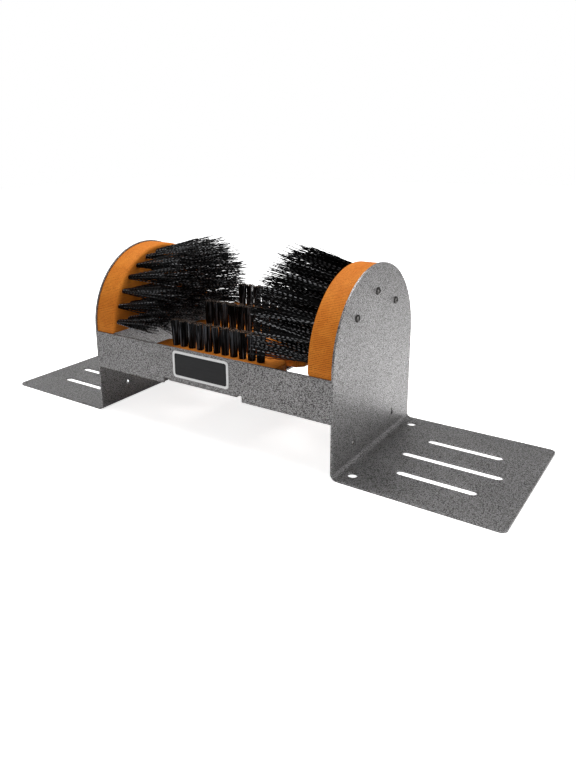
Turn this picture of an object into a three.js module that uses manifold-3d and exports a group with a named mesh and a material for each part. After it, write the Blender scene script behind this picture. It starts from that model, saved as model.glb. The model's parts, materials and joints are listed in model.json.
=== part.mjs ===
// Boot scraper: a folded steel frame with two foot plates, two arched side brushes facing each
// other across a boot-wide channel, and three rows of bottom brush that climb towards the back.
// Millimetres. +X runs along the length, +Y to the back, +Z up. The origin is on the floor, in the
// middle between the two end plates.

import * as THREE from "three";
import { mergeVertices } from "three/addons/utils/BufferGeometryUtils.js";
import Module from "manifold-3d";

const wasm = await Module();
wasm.setup();

// Sheet steel
const DEPTH = 203;
const SPAN = 357;
const ARCH_CENTRE = 119.5;
const SHEET = 2.5;
const PLATE_BEND = 8;

// Foot plates and their slots
const STEP_LENGTH = 181;
const STEP_CORNER = 7;
const SLOT_WIDTH = 11.5;
const SLOT_PITCH = 46.5;
const SLOT_CENTRE = 93.5;
const MIDDLE_SLOT = 113;
const OUTER_SLOT = 87.5;
const FLOOR_HOLE = 11.5;
const FLOOR_HOLE_INSET = 14.5;
const FLOOR_HOLE_EDGE = 20;

// Keyholes low in each end plate
const KEYHOLE = 6.6;
const KEYHOLE_NECK = 2.4;
const KEYHOLE_RISE = 7;
const KEYHOLE_HEIGHT = 25.5;
const KEYHOLE_SPREAD = 51;

// Cross frame: two rails and the bridge folded between them
const RAIL_BOTTOM = 64;
const RAIL_HEIGHT = 49.25;
const BRIDGE_UNDERSIDE = 67.5;
const BRIDGE_WIDTH = 102.5;
const FRAME_BEND = 4;
const NOTCH_WIDTH = 9;

// Name plate, left blank
const NAME_PLATE_WIDTH = 85;
const NAME_PLATE_HEIGHT = 34;
const NAME_PLATE_THICKNESS = 0.8;
const NAME_PLATE_CORNER = 4;
const NAME_PLATE_RIM = 2.5;
const NAME_PLATE_RECESS = 0.3;
const NAME_PLATE_BELOW_TOP = 3.25;

// Side brushes
const SIDE_BLOCK_THICKNESS = 31;
const SIDE_BLOCK_INSET = 1.5;
const SIDE_BLOCK_EDGE = 4.5;
const RING_MARGIN = 8.6;
const RING_STEP = 20;
const RING_COUNT = 5;
const TUFT_PITCH = 21.3;
const LOWEST_TUFT = 14.5;
const SIDE_BRISTLE_LENGTH = 80;
const SIDE_TUFT_STRANDS = 4;
const SIDE_TUFT_ROOT = 2.2;
const SIDE_TUFT_SPREAD = 10;
const SIDE_FAN = 1.12;
const SIDE_FAN_HEIGHT = 75;
const SIDE_STRAND_ROOT = 1.5;
const SIDE_STRAND_TIP = 0.9;

// Bottom brushes
const ROW_COUNT = 3;
const ROW_RISE = 10.5;
const ROW_RAIL_GAP = 10;
const FRONT_BLOCK_BOTTOM = 76.5;
const BOTTOM_BLOCK_LENGTH = 184;
const BOTTOM_BLOCK_WIDTH = 42;
const BOTTOM_BLOCK_THICKNESS = 28;
const BOTTOM_BLOCK_CLIP = 8;
const ROW_TUFTS = [11, 11, 10];
const ROW_TUFT_PITCH = 13;
const ROW_BRISTLE_LENGTH = 34;
const ROW_TUFT_ROOT = 3.1;
const ROW_TUFT_SPREAD = 3.7;
const ROW_STRAND = 1.3;
const ROW_BUNDLE_ROOT = 4.2;
const ROW_BUNDLE_TIP = 4.9;

// Stepped bearers under the bottom brushes
const BEARER_THICKNESS = 18;
const BEARER_SPREAD = 38;
const BEARER_SETBACK = 3;

// Screws
const SCREW_SHANK = 4.5;
const SCREW_HEAD = 8.8;
const SCREW_HEAD_HEIGHT = 2.6;
const SCREW_POINT = 3;
const SIDE_SCREW_CIRCLE = 70;
const SIDE_SCREW_ANGLES = [45, 90, 135];
const SIDE_SCREW_BITE = 22;
const BOTTOM_SCREW_BITE = 18;
const DRIVE_WIDTH = 1.2;
const DRIVE_DEPTH = 1;

// Clearances
const BORE_GAP = 0.3;
const SEAT_GAP = 0.25;
const TIP_GAP = 3;
const SLICE = 2;
const SLICE_GAP = 0.3;
const ROOT_SINK = 1;
const CUT = 5;

// Facets
const ARCH_SEGMENTS = 40;
const ROUND_SEGMENTS = 8;
const SHANK_SEGMENTS = 12;

// Places worked out from the sizes above
const HALF_DEPTH = DEPTH / 2;
const PLATE_FACE = SPAN / 2;
const PLATE_INSIDE = PLATE_FACE - SHEET;
const PLATE_HEIGHT = ARCH_CENTRE + HALF_DEPTH;
const RAIL_TOP = RAIL_BOTTOM + RAIL_HEIGHT;
const BRIDGE_TOP = BRIDGE_UNDERSIDE + SHEET;
const BLOCK_FACE = PLATE_INSIDE - SIDE_BLOCK_THICKNESS;
const BLOCK_BOTTOM = RAIL_TOP + SEAT_GAP;
const BLOCK_RADIUS = HALF_DEPTH - SIDE_BLOCK_INSET;
const BORE = SCREW_SHANK + 2 * BORE_GAP;
const ROW_REACH = HALF_DEPTH - SHEET - ROW_RAIL_GAP - BOTTOM_BLOCK_WIDTH / 2;
const ROW_PITCH = (2 * ROW_REACH) / (ROW_COUNT - 1);
const ROW_HALF = ((Math.max(...ROW_TUFTS) - 1) * ROW_TUFT_PITCH) / 2;
const ROW_END = ROW_HALF + ROW_TUFT_SPREAD + ROW_STRAND;
const BOTTOM_ROWS = [...Array(ROW_COUNT).keys()].map((row) => {
  const y = (row - (ROW_COUNT - 1) / 2) * ROW_PITCH;
  const bottom = FRONT_BLOCK_BOTTOM + row * ROW_RISE;
  return { y, bottom, top: bottom + BOTTOM_BLOCK_THICKNESS, tufts: ROW_TUFTS[row] };
});

const STEEL = { color: 0x8c8c8e, roughness: 0.55, metalness: 0.6 };
const STEEL_DARK = { color: 0x6f6f70, roughness: 0.6, metalness: 0.6 };
const WOOD = { color: 0xc8701c, roughness: 0.5, metalness: 0 };
const BRISTLE = { color: 0x161616, roughness: 0.45, metalness: 0 };
const ZINC = { color: 0xa8a8a6, roughness: 0.35, metalness: 0.9 };
const PLATE_BLACK = { color: 0x2e2e30, roughness: 0.4, metalness: 0.2 };

const group = new THREE.Group();

// Solids in and out of the boolean library

function toSolid(geometry) {
  const bare = geometry.clone();
  bare.deleteAttribute("normal");
  bare.deleteAttribute("uv");
  const merged = mergeVertices(bare, 1e-4);
  return new wasm.Manifold(new wasm.Mesh({
    numProp: 3,
    vertProperties: new Float32Array(merged.attributes.position.array),
    triVerts: new Uint32Array(merged.index.array),
  }));
}

function toGeometry(solid) {
  const mesh = solid.getMesh();
  const geometry = new THREE.BufferGeometry();
  geometry.setAttribute("position", new THREE.BufferAttribute(mesh.vertProperties, 3));
  geometry.setIndex(new THREE.BufferAttribute(mesh.triVerts, 1));
  geometry.computeVertexNormals();
  return geometry;
}

function addMesh(name, solid, finish, parent = group) {
  const mesh = new THREE.Mesh(toGeometry(solid), new THREE.MeshStandardMaterial(finish));
  mesh.name = name;
  parent.add(mesh);
  return mesh;
}

// Extrusions of a flat outline along each axis

function extrude(shape, depth, segments = ROUND_SEGMENTS) {
  return new THREE.ExtrudeGeometry(shape, { depth, bevelEnabled: false, curveSegments: segments });
}

// An outline drawn in (y, z), extruded from x0 to x1.
const ALONG_X = new THREE.Matrix4().set(0, 0, 1, 0, 1, 0, 0, 0, 0, 1, 0, 0, 0, 0, 0, 1);

function alongX(shape, x0, x1, segments) {
  return toSolid(extrude(shape, x1 - x0, segments).applyMatrix4(ALONG_X).translate(x0, 0, 0));
}

// An outline drawn in (x, z), extruded from y0 to y1.
function alongY(shape, y0, y1, segments) {
  return toSolid(extrude(shape, y1 - y0, segments).rotateX(Math.PI / 2).translate(0, y1, 0));
}

// An outline drawn in (x, y), extruded from z0 to z1.
function alongZ(shape, z0, z1, segments) {
  return toSolid(extrude(shape, z1 - z0, segments).translate(0, 0, z0));
}

function box(x0, x1, y0, y1, z0, z1) {
  const geometry = new THREE.BoxGeometry(x1 - x0, y1 - y0, z1 - z0);
  return toSolid(geometry.translate((x0 + x1) / 2, (y0 + y1) / 2, (z0 + z1) / 2));
}

// Outlines

function disc(u, v, diameter) {
  return new THREE.Shape().absarc(u, v, diameter / 2, 0, 2 * Math.PI, false);
}

// A slot with round ends that runs along u, centred on (u, v).
function slot(u, v, length, width) {
  const reach = (length - width) / 2;
  const shape = new THREE.Shape();
  shape.absarc(u + reach, v, width / 2, -Math.PI / 2, Math.PI / 2, false);
  shape.absarc(u - reach, v, width / 2, Math.PI / 2, (3 * Math.PI) / 2, false);
  shape.closePath();
  return shape;
}

function roundedRectangle(u0, u1, v0, v1, radius) {
  const shape = new THREE.Shape();
  shape.absarc(u1 - radius, v0 + radius, radius, -Math.PI / 2, 0, false);
  shape.absarc(u1 - radius, v1 - radius, radius, 0, Math.PI / 2, false);
  shape.absarc(u0 + radius, v1 - radius, radius, Math.PI / 2, Math.PI, false);
  shape.absarc(u0 + radius, v0 + radius, radius, Math.PI, (3 * Math.PI) / 2, false);
  shape.closePath();
  return shape;
}

// A semicircle of the given radius about the arch centre, on straight sides down to a flat bottom.
function archOutline(radius, bottom) {
  const shape = new THREE.Shape();
  shape.moveTo(-radius, bottom);
  shape.lineTo(radius, bottom);
  shape.absarc(0, ARCH_CENTRE, radius, 0, Math.PI, false);
  shape.closePath();
  return shape;
}

// A rectangle in (x, y) with its four corners clipped off at 45 degrees.
function clippedRectangle(length, width, clip) {
  const x = length / 2;
  const y = width / 2;
  return new THREE.Shape([
    new THREE.Vector2(-x + clip, -y),
    new THREE.Vector2(x - clip, -y),
    new THREE.Vector2(x, -y + clip),
    new THREE.Vector2(x, y - clip),
    new THREE.Vector2(x - clip, y),
    new THREE.Vector2(-x + clip, y),
    new THREE.Vector2(-x, y - clip),
    new THREE.Vector2(-x, -y + clip),
  ]);
}

// Turned pieces

// A round bar along +Z from z0 to z1.
function bar(x, y, z0, z1, diameter) {
  const radius = diameter / 2;
  const geometry = new THREE.CylinderGeometry(radius, radius, z1 - z0, SHANK_SEGMENTS);
  return toSolid(geometry.rotateX(Math.PI / 2).translate(x, y, (z0 + z1) / 2));
}

// A round bar along +X from x0 to x1.
function barAlongX(y, z, x0, x1, diameter) {
  const radius = diameter / 2;
  const geometry = new THREE.CylinderGeometry(radius, radius, x1 - x0, SHANK_SEGMENTS);
  return toSolid(geometry.rotateZ(Math.PI / 2).translate((x0 + x1) / 2, y, z));
}

// A pan-head wood screw on the Z axis: its head's underside is at z = 0, its point at z = length.
function screw(length) {
  const head = SCREW_HEAD / 2;
  const shank = SCREW_SHANK / 2;
  const profile = [new THREE.Vector2(0, length), new THREE.Vector2(shank, length - SCREW_POINT)];
  profile.push(new THREE.Vector2(shank, 0), new THREE.Vector2(head, 0));
  const domeSteps = 3;
  for (let step = 1; step < domeSteps; step += 1) {
    const angle = (step / domeSteps) * (Math.PI / 2);
    profile.push(new THREE.Vector2(head * Math.cos(angle), -SCREW_HEAD_HEIGHT * Math.sin(angle)));
  }
  profile.push(new THREE.Vector2(0, -SCREW_HEAD_HEIGHT));
  profile.reverse();
  const lathe = new THREE.LatheGeometry(profile, SHANK_SEGMENTS);
  const body = toSolid(lathe.rotateX(Math.PI / 2));
  const reach = head * 0.6;
  const half = DRIVE_WIDTH / 2;
  const drive = box(-reach, reach, -half, half, -SCREW_HEAD_HEIGHT - CUT, -SCREW_HEAD_HEIGHT + DRIVE_DEPTH)
    .add(box(-half, half, -reach, reach, -SCREW_HEAD_HEIGHT - CUT, -SCREW_HEAD_HEIGHT + DRIVE_DEPTH));
  return body.subtract(drive);
}

// End plate: one sheet folded into an arched upright and a slotted foot plate

function endPlateFold() {
  const end = PLATE_FACE + STEP_LENGTH;
  const bendX = PLATE_INSIDE + PLATE_BEND;
  const shape = new THREE.Shape();
  shape.moveTo(PLATE_INSIDE, PLATE_HEIGHT);
  shape.lineTo(PLATE_INSIDE, PLATE_BEND);
  shape.absarc(bendX, PLATE_BEND, PLATE_BEND, Math.PI, (3 * Math.PI) / 2, false);
  shape.lineTo(end, 0);
  shape.lineTo(end, SHEET);
  shape.absarc(bendX, PLATE_BEND, PLATE_BEND - SHEET, (3 * Math.PI) / 2, Math.PI, true);
  shape.lineTo(PLATE_FACE, PLATE_HEIGHT);
  shape.closePath();
  return alongY(shape, -HALF_DEPTH, HALF_DEPTH);
}

function sideScrewPlaces() {
  return SIDE_SCREW_ANGLES.map((degrees) => {
    const angle = THREE.MathUtils.degToRad(degrees);
    return { y: SIDE_SCREW_CIRCLE * Math.cos(angle), z: ARCH_CENTRE + SIDE_SCREW_CIRCLE * Math.sin(angle) };
  });
}

function keyhole(y) {
  const neckTop = KEYHOLE_HEIGHT + KEYHOLE_RISE;
  const x0 = PLATE_INSIDE - CUT;
  const x1 = PLATE_FACE + CUT;
  const half = KEYHOLE_NECK / 2;
  return alongX(disc(y, KEYHOLE_HEIGHT, KEYHOLE), x0, x1)
    .add(box(x0, x1, y - half, y + half, KEYHOLE_HEIGHT, neckTop - half))
    .add(alongX(disc(y, neckTop - half, KEYHOLE_NECK), x0, x1, ROUND_SEGMENTS / 2));
}

function endPlate() {
  const end = PLATE_FACE + STEP_LENGTH;
  const inside = PLATE_INSIDE - 2 * STEP_CORNER;
  let plate = endPlateFold()
    .intersect(alongX(archOutline(HALF_DEPTH, -CUT), inside, end + CUT, ARCH_SEGMENTS))
    .intersect(alongZ(
      roundedRectangle(inside, end, -HALF_DEPTH, HALF_DEPTH, STEP_CORNER), -CUT, PLATE_HEIGHT + CUT));
  const slotX = PLATE_FACE + SLOT_CENTRE;
  for (const side of [-1, 0, 1]) {
    const length = side === 0 ? MIDDLE_SLOT : OUTER_SLOT;
    plate = plate.subtract(alongZ(slot(slotX, side * SLOT_PITCH, length, SLOT_WIDTH), -CUT, SHEET + CUT));
  }
  for (const side of [-1, 1]) {
    const y = side * (HALF_DEPTH - FLOOR_HOLE_EDGE);
    plate = plate.subtract(alongZ(disc(PLATE_FACE + FLOOR_HOLE_INSET, y, FLOOR_HOLE), -CUT, SHEET + CUT));
    plate = plate.subtract(keyhole(side * KEYHOLE_SPREAD));
  }
  for (const place of sideScrewPlaces()) {
    plate = plate.subtract(barAlongX(place.y, place.z, PLATE_INSIDE - CUT, PLATE_FACE + CUT, BORE));
  }
  return plate;
}

// Cross frame: front rail, bridge and rear rail are one folded sheet, with a relief notch beside
// each bend so that the rails run on straight to the end plates

function channelOutline() {
  const floor = BRIDGE_UNDERSIDE + FRAME_BEND;
  const bendY = HALF_DEPTH - FRAME_BEND;
  const inner = FRAME_BEND - SHEET;
  const quarter = Math.PI / 2;
  const shape = new THREE.Shape();
  shape.moveTo(-HALF_DEPTH, RAIL_TOP);
  shape.lineTo(-HALF_DEPTH, floor);
  shape.absarc(-bendY, floor, FRAME_BEND, Math.PI, 3 * quarter, false);
  shape.absarc(bendY, floor, FRAME_BEND, -quarter, 0, false);
  shape.lineTo(HALF_DEPTH, RAIL_TOP);
  shape.lineTo(HALF_DEPTH - SHEET, RAIL_TOP);
  shape.absarc(bendY, floor, inner, 0, -quarter, true);
  shape.absarc(-bendY, floor, inner, 3 * quarter, Math.PI, true);
  shape.lineTo(-HALF_DEPTH + SHEET, RAIL_TOP);
  shape.closePath();
  return shape;
}

function crossFrame() {
  const half = BRIDGE_WIDTH / 2;
  const notchTop = BRIDGE_UNDERSIDE + FRAME_BEND;
  let frame = alongX(channelOutline(), -half, half);
  for (const side of [-1, 1]) {
    const outer = side * HALF_DEPTH;
    const inner = side * (HALF_DEPTH - SHEET);
    const y0 = Math.min(outer, inner);
    const y1 = Math.max(outer, inner);
    frame = frame.add(box(-PLATE_INSIDE, PLATE_INSIDE, y0, y1, notchTop, RAIL_TOP));
    frame = frame.add(box(half + NOTCH_WIDTH, PLATE_INSIDE, y0, y1, RAIL_BOTTOM, RAIL_TOP));
    frame = frame.add(box(-PLATE_INSIDE, -half - NOTCH_WIDTH, y0, y1, RAIL_BOTTOM, RAIL_TOP));
  }
  for (const place of bottomScrewPlaces()) {
    frame = frame.subtract(bar(place.x, place.y, BRIDGE_UNDERSIDE - CUT, BRIDGE_TOP + CUT, BORE));
  }
  return frame;
}

function namePlate() {
  const half = NAME_PLATE_WIDTH / 2;
  const top = RAIL_TOP - NAME_PLATE_BELOW_TOP;
  const bottom = top - NAME_PLATE_HEIGHT;
  const face = -HALF_DEPTH - NAME_PLATE_THICKNESS;
  const rim = NAME_PLATE_RIM;
  const outline = roundedRectangle(-half, half, bottom, top, NAME_PLATE_CORNER);
  const field = roundedRectangle(
    -half + rim, half - rim, bottom + rim, top - rim, NAME_PLATE_CORNER - rim / 2);
  return alongY(outline, face, -HALF_DEPTH, ROUND_SEGMENTS / 2)
    .subtract(alongY(field, face - CUT, face + NAME_PLATE_RECESS, ROUND_SEGMENTS / 2));
}

// Side brush: an arched wooden block with tufts in concentric arcs

function sliceOutline(gap) {
  const inset = SIDE_BLOCK_EDGE + gap;
  return archOutline(BLOCK_RADIUS - inset, BLOCK_BOTTOM + inset);
}

function sideBlock() {
  const edge = SIDE_BLOCK_EDGE;
  const geometry = new THREE.ExtrudeGeometry(archOutline(BLOCK_RADIUS, BLOCK_BOTTOM), {
    depth: SIDE_BLOCK_THICKNESS,
    curveSegments: ARCH_SEGMENTS,
    bevelEnabled: true,
    bevelThickness: edge,
    bevelSize: edge,
    bevelOffset: -edge,
    bevelSegments: 2,
  });
  const rounded = toSolid(geometry.applyMatrix4(ALONG_X).translate(BLOCK_FACE + edge, 0, 0));
  const reach = HALF_DEPTH + CUT;
  let block = rounded.intersect(box(BLOCK_FACE - CUT, PLATE_INSIDE, -reach, reach, 0, PLATE_HEIGHT));
  block = block.subtract(alongX(sliceOutline(0), BLOCK_FACE - CUT, BLOCK_FACE + SLICE, ARCH_SEGMENTS));
  const boreEnd = PLATE_INSIDE - SIDE_SCREW_BITE - BORE_GAP;
  for (const place of sideScrewPlaces()) {
    block = block.subtract(barAlongX(place.y, place.z, boreEnd, PLATE_INSIDE + CUT, BORE));
  }
  return block;
}

// Tuft centres in (y, z - arch centre), ring by ring, spread evenly above the lowest tuft line.
function sideTufts() {
  const lowest = BLOCK_BOTTOM + LOWEST_TUFT - ARCH_CENTRE;
  const tufts = [];
  for (let ring = 0; ring < RING_COUNT; ring += 1) {
    const radius = BLOCK_RADIUS - RING_MARGIN - ring * RING_STEP;
    const start = Math.asin(lowest / radius);
    const sweep = Math.PI - 2 * start;
    const gaps = Math.max(1, Math.round((sweep * radius) / TUFT_PITCH));
    for (let index = 0; index <= gaps; index += 1) {
      const angle = start + (sweep * index) / gaps;
      tufts.push({ y: radius * Math.cos(angle), z: radius * Math.sin(angle), angle });
    }
  }
  return tufts;
}

// A straight strand between two points, thinner at its tip.
function strand(root, tip, rootRadius, tipRadius, sides) {
  const axis = tip.clone().sub(root);
  const geometry = new THREE.CylinderGeometry(tipRadius, rootRadius, axis.length(), sides);
  const turn = new THREE.Quaternion().setFromUnitVectors(new THREE.Vector3(0, 1, 0), axis.normalize());
  const middle = root.clone().add(tip).multiplyScalar(0.5);
  return toSolid(geometry.applyQuaternion(turn).translate(middle.x, middle.y, middle.z));
}

// The tufts fan out from a line low in the channel. No tip drops to the highest bottom block, the
// low tufts stop short of the ends of the bottom rows, and the rest reach the full length.
function sideTip(tuftY, tuftZ, spreadY, spreadZ) {
  const y = SIDE_FAN * tuftY + spreadY;
  const z = SIDE_FAN_HEIGHT + SIDE_FAN * (tuftZ - SIDE_FAN_HEIGHT) + spreadZ;
  const highest = BOTTOM_ROWS[ROW_COUNT - 1].top;
  const tipZ = Math.max(z, highest + TIP_GAP);
  const full = BLOCK_FACE - SIDE_BRISTLE_LENGTH;
  const clear = tipZ > highest + ROW_BRISTLE_LENGTH + TIP_GAP;
  return new THREE.Vector3(clear ? full : Math.max(full, ROW_END + TIP_GAP), y, tipZ);
}

function sideBristles() {
  let brush = alongX(sliceOutline(SLICE_GAP), BLOCK_FACE, BLOCK_FACE + SLICE, ARCH_SEGMENTS);
  for (const tuft of sideTufts()) {
    for (let index = 0; index < SIDE_TUFT_STRANDS; index += 1) {
      const angle = tuft.angle + (index / SIDE_TUFT_STRANDS) * 2 * Math.PI;
      const y = Math.cos(angle);
      const z = Math.sin(angle);
      const root = new THREE.Vector3(
        BLOCK_FACE + ROOT_SINK,
        tuft.y + SIDE_TUFT_ROOT * y,
        ARCH_CENTRE + tuft.z + SIDE_TUFT_ROOT * z);
      const tip = sideTip(
        tuft.y, ARCH_CENTRE + tuft.z, SIDE_TUFT_SPREAD * y, SIDE_TUFT_SPREAD * z);
      brush = brush.add(strand(root, tip, SIDE_STRAND_ROOT, SIDE_STRAND_TIP, 3));
    }
  }
  return brush;
}

// Bottom brushes: a clipped wooden block for each row, on bearers cut like stairs

function bottomScrewPlaces() {
  return BOTTOM_ROWS.flatMap((row) => [-1, 1].map((side) => ({
    x: side * BEARER_SPREAD,
    y: row.y,
    seat: row.bottom,
  })));
}

function rowSlice(row, gap) {
  const x = ROW_END + 1 - gap;
  const y = ROW_BUNDLE_TIP + 2 - gap;
  return box(-x, x, row.y - y, row.y + y, row.top - SLICE, row.top + (gap > 0 ? 0 : CUT));
}

function bottomBlock(row) {
  const outline = clippedRectangle(BOTTOM_BLOCK_LENGTH, BOTTOM_BLOCK_WIDTH, BOTTOM_BLOCK_CLIP);
  let block = alongZ(outline, row.bottom, row.top).translate(0, row.y, 0);
  block = block.subtract(rowSlice(row, 0));
  const boreTop = row.bottom + BOTTOM_SCREW_BITE + BORE_GAP;
  for (const side of [-1, 1]) {
    block = block.subtract(bar(side * BEARER_SPREAD, row.y, row.bottom - CUT, boreTop, BORE));
  }
  return block;
}

function rowTuftPlaces(row) {
  return [...Array(row.tufts).keys()].map((index) => (index - (row.tufts - 1) / 2) * ROW_TUFT_PITCH);
}

// One strand in the middle of each tuft and six round it.
function strandedRow(row) {
  let brush = rowSlice(row, SLICE_GAP);
  const rootZ = row.top - ROOT_SINK;
  const tipZ = row.top + ROW_BRISTLE_LENGTH;
  for (const x of rowTuftPlaces(row)) {
    const middle = [new THREE.Vector3(x, row.y, rootZ), new THREE.Vector3(x, row.y, tipZ)];
    brush = brush.add(strand(middle[0], middle[1], ROW_STRAND, ROW_STRAND, 4));
    for (let index = 0; index < 6; index += 1) {
      const angle = (index / 6) * 2 * Math.PI;
      const u = Math.cos(angle);
      const v = Math.sin(angle);
      const root = new THREE.Vector3(x + ROW_TUFT_ROOT * u, row.y + ROW_TUFT_ROOT * v, rootZ);
      const tip = new THREE.Vector3(x + ROW_TUFT_SPREAD * u, row.y + ROW_TUFT_SPREAD * v, tipZ);
      brush = brush.add(strand(root, tip, ROW_STRAND, ROW_STRAND, 4));
    }
  }
  return brush;
}

// The row that shows least is a row of whole bundles, each flared a little at its tip.
function bundledRow(row) {
  let brush = rowSlice(row, SLICE_GAP);
  for (const x of rowTuftPlaces(row)) {
    const root = new THREE.Vector3(x, row.y, row.top - ROOT_SINK);
    const tip = new THREE.Vector3(x, row.y, row.top + ROW_BRISTLE_LENGTH);
    brush = brush.add(strand(root, tip, ROW_BUNDLE_ROOT, ROW_BUNDLE_TIP, ROUND_SEGMENTS));
  }
  return brush;
}

function bearer() {
  const shape = new THREE.Shape();
  const end = ((ROW_COUNT - 1) / 2) * ROW_PITCH + BOTTOM_BLOCK_WIDTH / 2 - BEARER_SETBACK;
  shape.moveTo(-end, BRIDGE_TOP);
  shape.lineTo(end, BRIDGE_TOP);
  for (const row of [...BOTTOM_ROWS].reverse()) {
    const back = row.y === BOTTOM_ROWS[ROW_COUNT - 1].y ? end : row.y + ROW_PITCH / 2;
    const front = row.y === BOTTOM_ROWS[0].y ? -end : row.y - ROW_PITCH / 2;
    shape.lineTo(back, row.bottom);
    shape.lineTo(front, row.bottom);
  }
  shape.closePath();
  let wood = alongX(shape, -BEARER_THICKNESS / 2, BEARER_THICKNESS / 2);
  for (const row of BOTTOM_ROWS) {
    wood = wood.subtract(bar(0, row.y, BRIDGE_TOP - CUT, row.bottom + CUT, BORE));
  }
  return wood;
}

// Assembly

// The two ends are the same pieces turned half round, so the left one is a turned group.
function addEnd(side, turn) {
  const end = new THREE.Group();
  end.rotation.z = turn;
  addMesh(`end_plate_${side}`, endPlate(), STEEL, end);
  addMesh(`side_block_${side}`, sideBlock(), WOOD, end);
  addMesh(`side_bristles_${side}`, sideBristles(), BRISTLE, end);
  sideScrewPlaces().forEach((place, index) => {
    const mesh = addMesh(`side_screw_${side}_${index + 1}`, screw(SHEET + SIDE_SCREW_BITE), ZINC, end);
    mesh.rotation.y = -Math.PI / 2;
    mesh.position.set(PLATE_FACE, place.y, place.z);
  });
  group.add(end);
}

addEnd("right", 0);
addEnd("left", Math.PI);

addMesh("cross_frame", crossFrame(), STEEL_DARK);
addMesh("name_plate", namePlate(), PLATE_BLACK);

const ROW_NAMES = ["front", "middle", "rear"];
BOTTOM_ROWS.forEach((row, index) => {
  const bristles = index < ROW_COUNT - 1 ? strandedRow(row) : bundledRow(row);
  addMesh(`bottom_block_${ROW_NAMES[index]}`, bottomBlock(row), WOOD);
  addMesh(`bottom_bristles_${ROW_NAMES[index]}`, bristles, BRISTLE);
});

for (const [side, sign] of [["left", -1], ["right", 1]]) {
  addMesh(`bearer_${side}`, bearer(), WOOD).position.x = sign * BEARER_SPREAD;
}

bottomScrewPlaces().forEach((place, index) => {
  const length = place.seat - BRIDGE_UNDERSIDE + BOTTOM_SCREW_BITE;
  const mesh = addMesh(`bottom_screw_${index + 1}`, screw(length), ZINC);
  mesh.position.set(place.x, place.y, BRIDGE_UNDERSIDE);
});

export default group;
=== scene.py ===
"""Looks of the boot scraper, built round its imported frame.

Everything is in metres on the frame's own axes: +X runs along the length, +Y to the back, +Z up.
Sizes in millimetres end in _mm and are turned to metres where they are used.
"""

import json
import logging
import math
import random
from dataclasses import asdict, dataclass, field
from enum import Enum
from functools import partial
from typing import Callable, ClassVar, Sequence, Union

import bmesh
import bpy
from mathutils import Matrix, Vector

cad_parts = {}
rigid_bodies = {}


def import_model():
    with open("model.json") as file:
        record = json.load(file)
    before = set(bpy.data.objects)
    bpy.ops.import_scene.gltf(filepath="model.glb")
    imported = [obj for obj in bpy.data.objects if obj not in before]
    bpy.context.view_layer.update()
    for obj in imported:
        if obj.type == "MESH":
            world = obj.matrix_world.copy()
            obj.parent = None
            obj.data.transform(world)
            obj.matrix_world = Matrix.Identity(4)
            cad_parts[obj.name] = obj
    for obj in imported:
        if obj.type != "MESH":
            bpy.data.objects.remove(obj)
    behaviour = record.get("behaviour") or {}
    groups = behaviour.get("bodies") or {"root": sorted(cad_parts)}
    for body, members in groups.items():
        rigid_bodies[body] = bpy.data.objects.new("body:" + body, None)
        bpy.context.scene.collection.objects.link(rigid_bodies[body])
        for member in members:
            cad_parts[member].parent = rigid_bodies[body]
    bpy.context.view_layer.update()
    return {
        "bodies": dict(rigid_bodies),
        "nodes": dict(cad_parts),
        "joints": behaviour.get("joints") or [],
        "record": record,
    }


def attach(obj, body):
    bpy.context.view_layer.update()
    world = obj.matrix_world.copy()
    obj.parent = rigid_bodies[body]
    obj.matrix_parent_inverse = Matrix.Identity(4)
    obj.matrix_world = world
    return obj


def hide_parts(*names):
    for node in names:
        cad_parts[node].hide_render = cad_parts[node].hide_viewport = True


LOG = logging.getLogger("boot_scraper")
MM = 0.001
GOLDEN_ANGLE = math.radians(137.508)
WHITE = (1.0, 1.0, 1.0, 1.0)

# Sizes that several sub-assemblies share
ARCH_CENTRE_MM = 119.5
ARCH_RADIUS_MM = 100.0
ROW_PITCH_MM = 68.0

# Types of node that recur
MATH = "ShaderNodeMath"
VECTOR = "ShaderNodeVectorMath"
RANGE = "ShaderNodeMapRange"
MIX = "ShaderNodeMix"
NOISE = "ShaderNodeTexNoise"
COORDINATES = "ShaderNodeTexCoord"
BUMP = "ShaderNodeBump"
STORE = "GeometryNodeStoreNamedAttribute"
STORED = "GeometryNodeInputNamedAttribute"
RANDOM = "FunctionNodeRandomValue"
POINTS = "GeometryNodeMeshToPoints"
INSTANCES = "GeometryNodeInstanceOnPoints"
UPRIGHT = "FunctionNodeAlignRotationToVector"
REALIZE = "GeometryNodeRealizeInstances"
SET_MATERIAL = "GeometryNodeSetMaterial"

Socket = Union[float, int, bool, str, Sequence[float], bpy.types.NodeSocket, bpy.types.Material,
               bpy.types.Object]
AddNode = Callable[..., bpy.types.NodeSocket]
Sockets = bpy.types.bpy_prop_collection
Point = tuple[float, float, float]
Span = tuple[float, float]


class Station(Enum):
    """One of the places that are built alike, each named as the CAD nodes have it."""

    @property
    def label(self) -> str:
        """The place's name as the CAD nodes have it."""
        return self.name.lower()


class End(Station):
    """The two ends of the scraper, each with the sign of its X."""

    RIGHT = 1
    LEFT = -1

    def turned(self, x: float, y: float, z: float) -> Vector:
        """Place a point of the right end on this end, in metres, from millimetres."""
        return Vector((self.value * x, self.value * y, z)) * MM


class Row(Station):
    """The three rows of bottom brush, from front to back."""

    FRONT = 0
    MIDDLE = 1
    REAR = 2


class Cut(Enum):
    """How a wooden piece was sawn: how its grain and then its knife marks are drawn out by axis."""

    ARCH = ((1.0, 0.06, 1.0), (0.1, 1.0, 1.0))
    BAR = ((0.06, 1.0, 1.0), (1.0, 0.1, 0.1))


# Small tools for colours, nodes and meshes


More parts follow.
